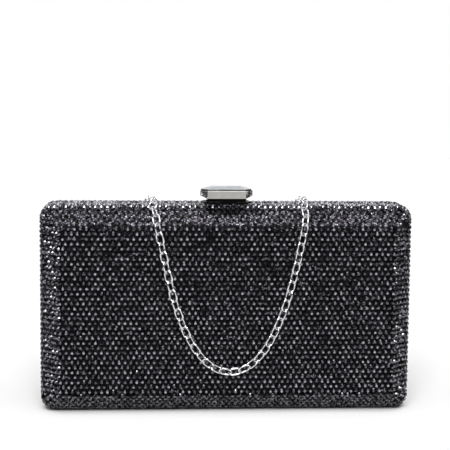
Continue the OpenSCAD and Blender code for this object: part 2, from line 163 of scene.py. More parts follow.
bag = dict(
    width=coverHigh[0] - coverLow[0],
    height=coverHigh[2] - coverLow[2],
    halfDepth=-coverLow[1],
    edgeDepth=-coverHigh[1],    # where the stones start beside the frame
    corner=7.5 * mm,
    bevel=10 * mm,
    sideRound=8 * mm,
    faceRound=1 * mm,
)
bag["sideDepth"] = bag["halfDepth"] - bag["bevel"]
halfAngle = math.tan(math.radians(22.5))


# camera

camera = dict(
    place=(-42.7 * mm, -680.5 * mm, 179.9 * mm),
    ahead=(0.0615, 0.9913, -0.1166),
    roll=0.52,
    lens=100.5,
)


def makeCamera():
    bpy.ops.object.camera_add(location=camera["place"])
    shot = bpy.context.object
    shot.name = "camera"
    turn = Vector(camera["ahead"]).to_track_quat("-Z", "Y")
    shot.rotation_mode = "QUATERNION"
    roll = Matrix.Rotation(math.radians(camera["roll"]), 4, "Z")
    shot.rotation_quaternion = turn @ roll.to_quaternion()
    shot.data.sensor_width = 36
    shot.data.lens = camera["lens"]
    shot.data.clip_start = 0.05
    shot.data.clip_end = 50
    bpy.context.scene.camera = shot


startFresh()
makeCamera()
print("camera set")


# materials

def principled(name, color, rough, metal=0.0, **sockets):
    material = bpy.data.materials.new(name)
    material.use_nodes = True
    shader = material.node_tree.nodes["Principled BSDF"]
    shader.inputs["Base Color"].default_value = (*color, 1)
    shader.inputs["Roughness"].default_value = rough
    shader.inputs["Metallic"].default_value = metal
    for key, value in sockets.items():
        shader.inputs[key.replace("_", " ")].default_value = value
    material.diffuse_color = (*color, 1)
    return material, material.node_tree, shader


def noiseField(tree, scale, detail=3.0, roughness=0.55, stretch=(1, 1, 1)):
    place = tree.nodes.new("ShaderNodeTexCoord")
    mapping = tree.nodes.new("ShaderNodeMapping")
    mapping.inputs["Scale"].default_value = stretch
    field = tree.nodes.new("ShaderNodeTexNoise")
    field.inputs["Scale"].default_value = scale
    field.inputs["Detail"].default_value = detail
    field.inputs["Roughness"].default_value = roughness
    tree.links.new(place.outputs["Object"], mapping.inputs["Vector"])
    tree.links.new(mapping.outputs["Vector"], field.inputs["Vector"])
    return field


def ramp(tree, source, low, high, colorLow, colorHigh):
    node = tree.nodes.new("ShaderNodeValToRGB")
    node.color_ramp.elements[0].position = low
    node.color_ramp.elements[0].color = (*colorLow, 1)
    node.color_ramp.elements[1].position = high
    node.color_ramp.elements[1].color = (*colorHigh, 1)
    tree.links.new(source, node.inputs["Fac"])
    return node


def bump(tree, shader, height, strength, distance):
    node = tree.nodes.new("ShaderNodeBump")
    node.inputs["Strength"].default_value = strength
    node.inputs["Distance"].default_value = distance
    tree.links.new(height, node.inputs["Height"])
    tree.links.new(node.outputs["Normal"], shader.inputs["Normal"])
    return node


def jetCrystal():  # each facet mirrors more or less of what is round it; the tone also holds painted light and shade by the way each stone faces
    material, tree, shader = principled("jetCrystal", (0.03, 0.03, 0.034), 0.07, 1.0)
    tone = tree.nodes.new("ShaderNodeAttribute")
    tone.attribute_name = "stoneToneAndLight"
    dark, light = (0.006, 0.0058, 0.0072), (0.44, 0.425, 0.47)
    tint = ramp(tree, tone.outputs["Fac"], 0.0, 1.0, dark, light)
    tree.links.new(tint.outputs["Color"], shader.inputs["Base Color"])
    return material


def resinBase():
    material, tree, shader = principled(
        "stoneBed", (0.004, 0.004, 0.005), 0.6, Specular_IOR_Level=0.08)
    grain = noiseField(tree, 900, 4)
    dark, light = (0.002, 0.002, 0.0024), (0.009, 0.0087, 0.0105)
    tint = ramp(tree, grain.outputs["Fac"], 0.35, 0.7, dark, light)
    tree.links.new(tint.outputs["Color"], shader.inputs["Base Color"])
    bump(tree, shader, grain.outputs["Fac"], 0.4, 0.0002)
    return material


def platedMetal(name, color, rough, wear=0.06):
    material, tree, shader = principled(name, color, rough, 1.0)
    cloud = noiseField(tree, 260, 4)
    lighter = tuple(min(1, c * (1 + 3 * wear)) for c in color)
    darker = tuple(c * (1 - 3 * wear) for c in color)
    tint = ramp(tree, cloud.outputs["Fac"], 0.35, 0.65, darker, lighter)
    tree.links.new(tint.outputs["Color"], shader.inputs["Base Color"])
    scuff = noiseField(tree, 1400, 2)
    polish = tree.nodes.new("ShaderNodeMapRange")
    polish.inputs["From Min"].default_value = 0.3
    polish.inputs["From Max"].default_value = 0.7
    polish.inputs["To Min"].default_value = max(0.01, rough - wear)
    polish.inputs["To Max"].default_value = rough + wear
    tree.links.new(scuff.outputs["Fac"], polish.inputs["Value"])
    tree.links.new(polish.outputs["Result"], shader.inputs["Roughness"])
    return material


def brushedMetal(name, color, stretch):
    material, tree, shader = principled(name, color, 0.32, 1.0)
    lines = noiseField(tree, 900, 3, 0.6, stretch)
    darker = tuple(0.8 * c for c in color)
    lighter = tuple(1.15 * c for c in color)
    tint = ramp(tree, lines.outputs["Fac"], 0.3, 0.7, darker, lighter)
    tree.links.new(tint.outputs["Color"], shader.inputs["Base Color"])
    bump(tree, shader, lines.outputs["Fac"], 0.15, 0.0001)
    return material


def lacquer():
    material, tree, shader = principled(
        "blackLacquer", (0.002, 0.002, 0.0025), 0.4, Specular_IOR_Level=0.08)
    cloud = noiseField(tree, 700, 3)
    bump(tree, shader, cloud.outputs["Fac"], 0.05, 0.0001)
    return material


def satin():
    material, tree, shader = principled(
        "blackSatin", (0.02, 0.02, 0.023), 0.42, Sheen_Weight=0.35, Sheen_Roughness=0.4)
    place = tree.nodes.new("ShaderNodeTexCoord")
    weave = tree.nodes.new("ShaderNodeMath")
    weave.operation = "MULTIPLY"
    for socket, direction in enumerate(("X", "Z")):     # warp and weft
        thread = tree.nodes.new("ShaderNodeTexWave")
        thread.wave_type = "BANDS"
        thread.bands_direction = direction
        thread.inputs["Scale"].default_value = 1300
        tree.links.new(place.outputs["Object"], thread.inputs["Vector"])
        tree.links.new(thread.outputs["Fac"], weave.inputs[socket])
    cloud = noiseField(tree, 45, 3)
    dark, light = (0.012, 0.012, 0.014), (0.035, 0.034, 0.039)
    tint = ramp(tree, cloud.outputs["Fac"], 0.3, 0.75, dark, light)
    tree.links.new(tint.outputs["Color"], shader.inputs["Base Color"])
    bump(tree, shader, weave.outputs["Value"], 0.25, 0.0001)
    return material


def mouldedPlastic():
    material, tree, shader = principled("mouldedShell", (0.02, 0.02, 0.022), 0.5)
    grain = noiseField(tree, 1200, 3)
    bump(tree, shader, grain.outputs["Fac"], 0.2, 0.0001)
    return material


def milkyStone():
    material, tree, shader = principled(
        "milkyStone", (0.4, 0.41, 0.43), 0.05, Coat_Weight=0.5, Coat_Roughness=0.02)
    depth = noiseField(tree, 120, 2)
    dark, light = (0.33, 0.34, 0.36), (0.46, 0.475, 0.49)
    tint = ramp(tree, depth.outputs["Fac"], 0.3, 0.7, dark, light)
    tree.links.new(tint.outputs["Color"], shader.inputs["Base Color"])
    return material


crystal = jetCrystal()
bed = resinBase()
gunmetal = platedMetal("gunmetalFrame", (0.27, 0.27, 0.29), 0.16)
mirror = platedMetal("mirrorClasp", (0.4, 0.39, 0.375), 0.04, 0.02)
chainMetal = platedMetal("chainMetal", (0.74, 0.74, 0.76), 0.06, 0.03)
hingeSteel = brushedMetal("hingeSteel", (0.34, 0.34, 0.36), (0.04, 1, 1))
latchSteel = brushedMetal("latchSteel", (0.48, 0.48, 0.5), (1, 1, 0.05))
black = lacquer()
cloth = satin()
plastic = mouldedPlastic()
milky = milkyStone()
print("materials ready")


# chain: oval links along the same route as in the CAD

chain = dict(
    route=[
        (-41.0, -4.0, 114.4), (-40.8, -8.0, 114.9), (-40.4, -12.8, 114.4),
        (-39.8, -17.0, 112.2), (-38.9, -20.9, 108.6), (-38.0, -24.3, 105.0),
        (-37.3, -25.2, 101.0), (-35.8, -24.9, 94.0), (-33.6, -24.9, 84.0),
        (-31.6, -24.9, 75.0), (-29.0, -24.9, 64.0), (-26.0, -24.9, 54.5),
        (-22.0, -24.9, 44.5), (-18.0, -24.9, 37.2), (-13.0, -24.9, 30.7),
        (-8.0, -24.9, 26.5), (-3.0, -24.9, 24.2), (2.0, -24.9, 23.5),
        (7.0, -24.9, 24.4), (12.0, -24.9, 27.1), (17.0, -24.9, 31.7),
        (21.0, -24.9, 37.2), (25.0, -24.9, 44.7), (29.0, -24.9, 54.5),
        (32.0, -24.9, 63.5), (34.8, -24.9, 74.5), (37.0, -24.9, 84.0),
        (38.8, -24.9, 93.5), (40.3, -25.2, 101.0), (40.8, -24.3, 105.0),
        (41.0, -20.9, 108.6), (41.1, -17.0, 112.2), (41.1, -12.8, 114.4),
        (41.0, -8.0, 114.9), (41.0, -4.0, 114.4),
    ],
    linkLength=7.4 * mm,
    linkWidth=5.2 * mm,
    wire=1.0 * mm,
    pitch=5.2 * mm,
    lean=35,                # how far the flatter links lean from lying flat
    topFrom=101.5 * mm,     # above this height the links turn to face upwards
    topOver=13 * mm,
    frontFrom=9 * mm,       # and this far forward they turn to face the front
    frontOver=16.5 * mm,
    ringRadius=2.1 * mm,
    ringWire=0.9 * mm,
    ringTilt=40,
)


def routePoints():
    return [Vector(p) * mm for p in chain["route"]]


def walkRoute(points, distance):
    for a, b in zip(points, points[1:]):
        step = (b - a).length
        if distance <= step:
            return a.lerp(b, distance / step)
        distance -= step
    return points[-1].copy()


def makeLink():  # a torus parted in the middle and drawn out to an oval
    middle = (chain["linkWidth"] - chain["wire"]) / 2
    straight = (chain["linkLength"] - chain["linkWidth"]) / 2
    startFresh()
    bpy.ops.mesh.primitive_torus_add(
        major_segments=24,
        minor_segments=10,
        major_radius=middle,
        minor_radius=chain["wire"] / 2,
    )
    link = named("link")
    for side in (1, -1):
        makeActive(link)
        bpy.ops.object.mode_set(mode="EDIT")
        bpy.ops.mesh.select_mode(type="VERT")
        bpy.ops.mesh.select_all(action="DESELECT")
        leaveEdit()
        for vertex in link.data.vertices:
            vertex.select = side * vertex.co.x > 0.01 * mm
        bpy.ops.object.mode_set(mode="EDIT")
        bpy.ops.transform.translate(value=(side * straight, 0, 0))
        leaveEdit()
    makeActive(link)
    bpy.ops.object.shade_smooth()
    return link


def linkTurn(a, b, index):
    middle = (a + b) / 2
    ahead = (b - a).normalized()
    over = share(middle.z, chain["topFrom"], chain["topOver"])
    outward = Vector((0, -share(-middle.y, chain["frontFrom"], chain["frontOver"]), over))
    outward = (outward - ahead * outward.dot(ahead)).normalized()
    across = outward.cross(ahead)
    frameTurn = Matrix((ahead, across, outward)).transposed()
    roll = chain["lean"] - 90 * (index % 2)
    turn = frameTurn @ Matrix.Rotation(math.radians(roll), 3, "X")
    return Matrix.Translation(middle) @ turn.to_4x4()


def makeChain():
    points = routePoints()
    total = sum((b - a).length for a, b in zip(points, points[1:]))
    count = round(total / chain["pitch"])
    step = total / count
    link = makeLink()
    links = []
    for k in range(count):
        copy = link.copy()
        copy.data = link.data.copy()
        bpy.context.collection.objects.link(copy)
        start, end = walkRoute(points, k * step), walkRoute(points, (k + 1) * step)
        copy.matrix_world = linkTurn(start, end, k)
        links.append(copy)
    bpy.data.objects.remove(link)
    startFresh()
    for copy in links:
        copy.select_set(True)
    bpy.context.view_layer.objects.active = links[0]
    bpy.ops.object.join()
    piece = settle(named("chain"))
    dress(piece, chainMetal, "chain", "chain_gunmetal", "chain_links")
    return piece, points, total


def makeEndRing(name, node):
    low, high = (Vector(c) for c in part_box(node))
    startFresh()
    bpy.ops.mesh.primitive_torus_add(
        location=(low + high) / 2,
        rotation=(0, math.radians(90 - chain["ringTilt"]), 0),
        major_segments=32,
        minor_segments=12,
        major_radius=chain["ringRadius"],
        minor_radius=chain["ringWire"] / 2,
    )
    ring = settle(named(name))
    bpy.ops.object.shade_smooth()
    return dress(ring, chainMetal, "chain", "chain_gunmetal", node)


chainPiece, chainPath, chainRun = makeChain()
endRings = [
    makeEndRing("endRingLeft", "chain_ring_left"),
    makeEndRing("endRingRight", "chain_ring_right"),
]
print("chain: %.1f mm" % (chainRun / mm))


# chain loops: bent wire staples on the front frame

loops = dict(wire=0.9 * mm, bend=1.0 * mm)


def makeLoop(name, node):
    low, high = (Vector(c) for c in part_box(node))
    radius = loops["wire"] / 2
    left, right = low.x + radius, high.x - radius
    y = (low.y + high.y) / 2
    top = high.z - radius
    bottom = low.z
    bend = loops["bend"]
    line = bpy.data.curves.new(name, "CURVE")
    line.dimensions = "3D"
    line.bevel_depth = radius
    line.bevel_resolution = 4
    line.use_fill_caps = True
    path = [(left, y, bottom)]
    for center, start in ((left + bend, 180), (right - bend, 90)):
        for k in range(7):
            angle = math.radians(start - 15 * k)
            path.append((
                center + bend * math.cos(angle), y, top - bend + bend * math.sin(angle)))
    path.append((right, y, bottom))
    spline = line.splines.new("POLY")
    spline.points.add(len(path) - 1)
    for point, place in zip(spline.points, path):
        point.co = (*place, 1)
    loop = bpy.data.objects.new(name, line)
    bpy.context.collection.objects.link(loop)
    makeActive(loop)
    bpy.ops.object.convert(target="MESH")
    loop = named(name)
    smoothByAngle(loop, 50)
    return dress(loop, chainMetal, "front_half", "chain_gunmetal", node)


makeLoop("chainLoopLeft", "chain_loop_left")
makeLoop("chainLoopRight", "chain_loop_right")
print("chain loops")


# trays: a rounded block whose face is inset and drawn forward along the wall's section

def wallSection(inset):  # inset and depth of each bend of a wall this far inside the surface
    steps = []
    r = bag["sideRound"]
    middleDepth = bag["sideDepth"] - r * halfAngle
    for k in range(5):
        angle = math.radians(45 * k / 4)
        steps.append((
            r - (r - inset) * math.cos(angle), middleDepth + (r - inset) * math.sin(angle)))
    r = bag["faceRound"]
    if inset < r:
        for k in range(3):
            angle = math.radians(45 + 22.5 * k)
            steps.append((
                bag["bevel"] + r * halfAngle - (r - inset) * math.cos(angle),
                bag["halfDepth"] - r + (r - inset) * math.sin(angle),
            ))
    else:
        steps.append((bag["bevel"] + inset * halfAngle, bag["halfDepth"] - inset))
    return steps


def makeTray(name, inset, thickness, edgeDepth, cornerSteps=10):
    steps = wallSection(inset)
    depth = steps[0][1] - edgeDepth
    startFresh()
    middle = (0, -(edgeDepth + depth / 2), bag["height"] / 2)
    bpy.ops.mesh.primitive_cube_add(size=1, location=middle)
    tray = named(name)
    tray.scale = (bag["width"] - 2 * inset, depth, bag["height"] - 2 * inset)
    settle(tray)
    pickEdges(tray, lambda a, b: abs(a.y - b.y) > depth / 2)
    bpy.ops.mesh.bevel(
        offset=bag["corner"] - inset, segments=cornerSteps, affect="EDGES", clamp_overlap=False)
    pickFaces(tray, lambda center, normal: normal.y < -0.9)
    meet = bag["corner"] - 0.05 * mm    # here the rounded corners have shrunk to points
    last = steps[0]
    for place in steps[1:]:
        if last[0] < meet < place[0]:
            part = (meet - last[0]) / (place[0] - last[0])
            half = (meet, last[1] + part * (place[1] - last[1]))
            bpy.ops.mesh.inset(thickness=half[0] - last[0], depth=half[1] - last[1])
            bpy.ops.mesh.remove_doubles(threshold=1 * mm)
            last = half
        bpy.ops.mesh.inset(thickness=place[0] - last[0], depth=place[1] - last[1])
        last = place
    pickFaces(tray, lambda center, normal: normal.y > 0.9)
    bpy.ops.mesh.delete(type="FACE")
    leaveEdit()
    applyModifier(tray, "SOLIDIFY", thickness=thickness, offset=-1, use_even_offset=True)
    smoothByAngle(tray, 20)
    return tray


# crystals

stones = dict(
    across=3.12 * mm,       # between neighbours in a row
    rowStep=2.66 * mm,      # between rows
    radius=1.5 * mm,
    girdle=0.28 * mm,
    crown=0.82 * mm,
    table=0.44,             # width of the flat top, as a share of the stone's
    sunk=1.08 * mm,         # how deep the stone's foot lies under the outer surface
    raised=0.4 * mm,        # how far stones on the straight walls stand out of it
    tilt=2.6,
    drift=0.07 * mm,        # how far a stone may sit from its place in the row
    spin=12,
    bedDepth=0.95 * mm,     # the dark layer that the stones are set in
    bedThick=0.72 * mm,
)

rows = dict(
    topGroove=1.9 * mm,     # bare strip each side of the crease along the top
    topRows=9,
    topMargin=1.5 * mm,     # bare strip between the top's last row and the frame
    margin=1.2 * mm,        # and beside the frame on the other walls
    lowMargin=0.2 * mm,     # how far the panel's rows may run past its lower crease
    cornerMargin=0.3 * mm,
    closest=2.62 * mm,
    full=3.02 * mm,         # room at which a stone keeps its whole size
    cell=3.2 * mm,
    collarGap=0.5 * mm,     # bare strip round the clasp's collar
    creaseReach=0.35 * mm,  # stones this close to the crease lean on over it
    creaseLean=62,
)

fillers = dict(             # smaller stones, thrown at random, that close the gaps
    tries=26000,
    closest=2.35 * mm,
    edge=1.1 * mm,
    panelReach=6 * mm,
    corners=0.4,            # running shares of the throws
    top=0.57,
    bottom=0.74,
    sides=0.94,
)

sparkle = dict(
    table=0.5,              # how much of its surroundings a flat top mirrors
    tableLow=0.25,
    tableSpread=1.5,
    tableCurve=1.6,
    crown=0.6,              # and the brightest of the facets round it
    crownCurve=3,
    shoulderTableShade=0.5,      # painted light and shade: on the top shoulder flat tops are darker, facets lighter
    shoulderCrownLight=6.0,
    sideCrownLight=1.05,         # painted light: stones that look sideways are a little lighter
    turned=0.6,             # slope at which a stone wholly counts as turned that way
    underside=0.7,          # painted shade: stones that look down are darker
    lookDown=-0.3,
    shaded=0.12,            # and those in the shade of the clasp's head darkest
    shadeHalf=13.5 * mm,    # its shade narrows downwards
    shadeSlope=1.3,
    shadeDrop=4.2 * mm,
    brightest=0.9,
)


def makeStone():  # flat-backed stone: foot, girdle, crown of turned facets, table
    startFresh()
    bpy.ops.mesh.primitive_cone_add(
        vertices=8,
        radius1=stones["radius"],
        radius2=stones["radius"] * stones["table"],
        depth=stones["crown"],
        location=(0, 0, stones["girdle"] + stones["crown"] / 2),
    )
    stone = settle(named("stone"))
    pickFaces(stone, lambda center, normal: normal.z > 0.9)
    bpy.ops.transform.rotate(value=math.radians(22.5), orient_axis="Z", center_override=(0, 0, 0))
    pickFaces(stone, lambda center, normal: normal.z < -0.9)
    bpy.ops.mesh.extrude_region_move(TRANSFORM_OT_translate={"value": (0, 0, -stones["girdle"])})
    bpy.ops.mesh.select_all(action="SELECT")
    bpy.ops.mesh.quads_convert_to_tris(quad_method="SHORTEST_DIAGONAL")
    bpy.ops.mesh.normals_make_consistent(inside=False)
    leaveEdit()
    return stone


def wallRun():  # lengths of the wall's stretches, from the edge beside the frame to the crease
    r = bag["sideRound"]
    straight = bag["sideDepth"] - r * halfAngle - bag["edgeDepth"]
    roundPart = r * math.pi / 4
    slantStart = r * (1 - math.cos(math.pi / 4))
    slant = (bag["bevel"] - slantStart) * math.sqrt(2)
    return straight, roundPart, slant


def wallPoint(run):  # inset, depth and slope of the wall at a distance from the frame's edge
    straight, roundPart, slant = wallRun()
    r = bag["sideRound"]
    middleDepth = bag["sideDepth"] - r * halfAngle
    if run <= straight:
        return 0.0, bag["edgeDepth"] + run, 0.0
    if run <= straight + roundPart:
        angle = (run - straight) / r
        return r * (1 - math.cos(angle)), middleDepth + r * math.sin(angle), angle
    along = run - straight - roundPart
    quarter = math.pi / 4
    inset = r * (1 - math.cos(quarter)) + along * math.cos(quarter)
    depth = middleDepth + r * math.sin(quarter) + along * math.sin(quarter)
    if along > slant - rows["creaseReach"]:
        quarter = math.radians(rows["creaseLean"])
    return inset, depth, quarter


def edgePlace(side, along, run):  # point and outward normal on one of the straight walls
    inset, depth, slope = wallPoint(run)
    w, h = bag["width"] / 2, bag["height"]
    flat, out = math.cos(slope), -math.sin(slope)
    if side == "top":
        return Vector((along, -depth, h - inset)), Vector((0, out, flat))
    if side == "bottom":
        return Vector((along, -depth, inset)), Vector((0, out, -flat))
    if side == "left":
        return Vector((inset - w, -depth, along)), Vector((-flat, out, 0))
    return Vector((w - inset, -depth, along)), Vector((flat, out, 0))


def freeEnd(run):  # how far from the bag's corner a row on a straight wall ends
    return max(bag["corner"], wallPoint(run)[0])


def cornerPlace(signX, signZ, angle, run):
    inset, depth, slope = wallPoint(run)
    r = bag["corner"]
    level = bag["height"] - r if signZ > 0 else r
    center = Vector((signX * (bag["width"] / 2 - r), -depth, level))
    spoke = Vector((signX * math.cos(angle), 0, signZ * math.sin(angle)))
    normal = spoke * math.cos(slope) + Vector((0, -math.sin(slope), 0))
    return center + spoke * (r - inset), normal


def panelPlace(x, z):
    return Vector((x, -bag["halfDepth"], z)), Vector((0, -1, 0))


class Bed:  # the stones laid so far, in a grid of cells for quick distance tests
    def __init__(self, cell):
        self.cell = cell
        self.cells = {}
        self.laid = []

    def key(self, point):
        return tuple(int(math.floor(c / self.cell)) for c in point)

    def nearest(self, point):
        a, b, c = self.key(point)
        best = 1.0
        for i in (a - 1, a, a + 1):
            for j in (b - 1, b, b + 1):
                for k in (c - 1, c, c + 1):
                    for other in self.cells.get((i, j, k), ()):
                        best = min(best, (other - point).length)
        return best

    def lay(self, place, closest=rows["closest"]):
        point, normal = place
        gap = self.nearest(point)
        if gap >= closest:
            self.cells.setdefault(self.key(point), []).append(point)
            self.laid.append((point, normal, min(1.0, gap / rows["full"])))


def rowPlaces(row, reach):  # every other row is shifted by half a stone
    shift = 0.5 * (row % 2)
    count = int(reach / stones["across"])
    return [(k + shift) * stones["across"] for k in range(-count, count + 1)]


def layPanelRows(laid, wall):  # rows of the panel, which run on round both sides
    creaseX = bag["width"] / 2 - bag["bevel"]
    row = 0
    z = bag["height"] - bag["bevel"] - rows["topGroove"]
    while z > bag["bevel"] - rows["lowMargin"]:
        for x in rowPlaces(row, creaseX + wall + stones["across"]):
            past = abs(x) - creaseX
            if past <= 0:
                laid.lay(panelPlace(x, z))
                continue
            end = freeEnd(wall - past)
            if past < wall - rows["margin"] and end <= z <= bag["height"] - end:
                laid.lay(edgePlace("left" if x < 0 else "right", z, wall - past))
        row += 1
        z -= stones["rowStep"]
    return row, z


def layWallRow(laid, side, row, run):
    half = bag["width"] / 2
    for x in rowPlaces(row, half):
        if abs(x) <= half - freeEnd(run):
            laid.lay(edgePlace(side, x, run))


def layCorner(laid, signX, signZ, wall):  # arcs round one of the four corners
    past = rows["margin"]
    ring = 0
    while past < wall - rows["margin"]:
        inset = wallPoint(wall - past)[0]
        if inset > bag["corner"] - rows["cornerMargin"]:
            past += stones["rowStep"] / 4
            continue
        arc = (bag["corner"] - inset) * math.pi / 2
        count = max(1, round(arc / stones["across"]))
        for k in range(count + 1):
            angle = (k + 0.5 * (ring % 2)) / count * math.pi / 2
            if angle <= math.pi / 2 + 0.001:
                laid.lay(cornerPlace(signX, signZ, angle, wall - past))
        past += stones["rowStep"]
        ring += 1


def layFillers(laid, wall):
    w, h = bag["width"] / 2, bag["height"]
    creaseX = w - bag["bevel"]
    creaseTop, creaseBottom = h - bag["bevel"], bag["bevel"]
    picker = random.Random(5)
    for k in range(fillers["tries"]):
        run = picker.uniform(fillers["edge"], wall)
        end = freeEnd(run)
        kind = picker.random()
        if kind < fillers["corners"]:
            if end > bag["corner"]:
                continue
            signX, signZ = picker.choice((-1, 1)), picker.choice((-1, 1))
            place = cornerPlace(signX, signZ, picker.uniform(0, math.pi / 2), run)
        elif kind < fillers["top"]:
            x = picker.uniform(end - w, w - end)
            place = edgePlace("top", x, min(run, wall - rows["topGroove"]))
        elif kind < fillers["bottom"]:
            place = edgePlace("bottom", picker.uniform(end - w, w - end), run)
        elif kind < fillers["sides"]:
            side = picker.choice(("left", "right"))
            place = edgePlace(side, picker.uniform(end, h - end), run)
        else:
            x = picker.uniform(creaseX - fillers["panelReach"], creaseX) * picker.choice((-1, 1))
            place = panelPlace(x, picker.uniform(creaseBottom, creaseTop - rows["margin"]))
        laid.lay(place, fillers["closest"])


def layStones():
    wall = sum(wallRun())
    laid = Bed(rows["cell"])
    row, z = layPanelRows(laid, wall)
    past = bag["bevel"] - z     # the same rows carried on under the bottom
    while past < wall - rows["margin"]:
        layWallRow(laid, "bottom", row, wall - past)
        row += 1
        past += stones["rowStep"]
    topStep = (wall - rows["topMargin"] - rows["topGroove"]) / (rows["topRows"] - 1)
    for row in range(rows["topRows"]):
        layWallRow(laid, "top", row, wall - rows["topGroove"] - row * topStep)
    for signX in (-1, 1):
        for signZ in (1, -1):
            layCorner(laid, signX, signZ, wall)
    layFillers(laid, wall)
    return laid.laid


def underCollar(point):  # no stones where the clasp's collar sits on the wall
    low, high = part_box("clasp_collar")
    reach = [edge + rows["collarGap"] for edge in high]
    beside = abs(point.x) < reach[0] and -point.y < reach[1]
    return beside and point.z > bag["height"] - stones["crown"]


def besideClasp(point):  # where the stones lie in the shade of the clasp's head
    drop = bag["height"] - point.z
    half = sparkle["shadeHalf"] - sparkle["shadeSlope"] * drop
    return abs(point.x) < half and drop < sparkle["shadeDrop"]


def placeStone(picker, base, point, normal, scale):  # a stone's corners, leaned and turned
    lean = Vector([picker.gauss(0, math.radians(stones["tilt"])) for k in range(3)])
    up = (normal + lean).normalized()
    guide = Vector((0.03, 0.02, 1)) if abs(up.z) < 0.8 else Vector((1, 0.02, 0))
    side = up.cross(guide).normalized()
    turn = Matrix((side, up.cross(side), up)).transposed()
    turn = turn @ Matrix.Rotation(math.radians(picker.gauss(0, stones["spin"])), 3, "Z")
    raised = stones["raised"] * (1 + normal.y) * (1 + min(normal.z, 0))
    foot = point - normal * (stones["sunk"] - raised)
    foot += side * picker.gauss(0, stones["drift"])
    foot += up.cross(side) * picker.gauss(0, stones["drift"])
    return (base * (scale, scale, 1)) @ np.array(turn).T + np.array(foot)


def facetTonesAndLight(dice, point, normal, table, crown):  # how much each facet mirrors: at random, with painted light and shade by the way the stone faces and painted shadow beside the clasp's head
    upward = share(normal.z, 0, sparkle["turned"])
    # painted shade on stones that look down, replaced below by the painted shadow of the clasp's
    # head
    paintedShade = sparkle["underside"] if normal.z < sparkle["lookDown"] else 1.0
    if besideClasp(point):
        paintedShade = sparkle["shaded"]
    spread = sparkle["tableSpread"] * dice.random() ** sparkle["tableCurve"]
    glint = sparkle["table"] * (sparkle["tableLow"] + spread)
    # painted shade: flat tops of upward-facing stones are darkened
    glint *= 1 + (sparkle["shoulderTableShade"] - 1) * upward
    facets = sparkle["crown"] * dice.random(len(table)) ** sparkle["crownCurve"]
    # painted light: facets of upward-facing stones are lightened
    facets *= 1 + (sparkle["shoulderCrownLight"] - 1) * upward
    # painted light: facets of sideways-facing stones are lightened
    facets *= 1 + (sparkle["sideCrownLight"] - 1) * min(abs(normal.x) / sparkle["turned"], 1)
    tone = np.where(crown, facets, np.where(table, glint, 0.0))
    return np.clip(paintedShade * tone, 0, sparkle["brightest"])


def setStones(name, stone, laid, mirror, seed):
    picker = random.Random(seed)
    dice = np.random.default_rng(seed)
    base = np.array([v.co for v in stone.data.vertices])
    faces = stone.data.polygons
    loops = np.array([k for face in faces for k in face.vertices])
    starts = np.array([face.loop_start for face in faces])
    rise = np.array([face.normal.z for face in faces])
    table = rise > 0.95
    crown = (rise > 0.2) & ~table
    points, corners, firsts, tones = [], [], [], []
    for point, normal, scale in laid:
        if underCollar(point):
            continue
        made = len(points)
        points.append(placeStone(picker, base, point, normal, scale))
        corners.append(loops + made * len(base))
        firsts.append(starts + made * len(loops))
        tones.append(facetTonesAndLight(dice, point, normal, table, crown))
    made = len(points)
    points = np.concatenate(points)
    mesh = bpy.data.meshes.new(name)
    mesh.vertices.add(len(points))
    mesh.loops.add(made * len(loops))
    mesh.polygons.add(made * len(starts))
    mesh.vertices.foreach_set("co", points.ravel())
    mesh.loops.foreach_set("vertex_index", np.concatenate(corners).astype(np.int32))
    mesh.polygons.foreach_set("loop_start", np.concatenate(firsts).astype(np.int32))
    mesh.update(calc_edges=True)
    # per-facet tone, with painted light and shade
    facetTone = mesh.attributes.new("stoneToneAndLight", "FLOAT", "FACE")
    facetTone.data.foreach_set("value", np.concatenate(tones).astype(np.float32))
    mesh.shade_flat()
    if mirror:
        mesh.transform(Matrix.Diagonal((1, -1, 1, 1)))
        mesh.flip_normals()
    piece = bpy.data.objects.new(name, mesh)
    bpy.context.collection.objects.link(piece)
    print(name, made, "stones")
    return piece


def makeCrystals():
    stone = makeStone()
    laid = layStones()
    front = setStones("frontCrystals", stone, laid, False, 21)
    rear = setStones("rearCrystals", stone, laid, True, 22)
    bpy.data.objects.remove(stone)
    dress(front, crystal, "front_half", "crystal_jet", "front_crystal_cover")
    dress(rear, crystal, "rear_half", "crystal_jet", "rear_crystal_cover")
    frontBed = makeTray("frontStoneBed", stones["bedDepth"], stones["bedThick"], bag["edgeDepth"])
    rearBed = mirroredCopy(frontBed, "rearStoneBed")
    dress(frontBed, bed, "front_half", "crystal_jet")
    dress(rearBed, bed, "rear_half", "crystal_jet")


makeCrystals()
print("crystals set")


# linings, pocket and gussets

inside = dict(
    liningThick=0.8 * mm,
    pocketThick=0.5 * mm,
    pocketGape=1.6 * mm,
    waveHeight=0.1 * mm,    # faint waves of the pocket's cloth
    waveLength=9 * mm,
    gussetThick=0.4 * mm,
    gussetLow=11 * mm,
    gussetHigh=99 * mm,
    gussetHalf=6.6 * mm,
    wallGap=5.3 * mm,       # from the bag's side to the cloth's outer folds
    foldLow=3.2 * mm,
    foldHigh=18.5 * mm,
    pleats=2,
    foldRound=0.35,         # share of a pleat's section that is a wave, the rest is straight
)


def makeLinings():
    inset = bag["width"] / 2 + liningLow[0]
    front = makeTray("frontLining", inset, inside["liningThick"], -liningHigh[1], 8)
    pickFaces(front, lambda center, normal: True)
    bpy.ops.mesh.subdivide(number_cuts=3)
    leaveEdit()
    rear = mirroredCopy(front, "rearLining")
    dress(front, cloth, "front_half", "lining_black", "front_lining")
    dress(rear, cloth, "rear_half", "lining_black", "rear_lining")


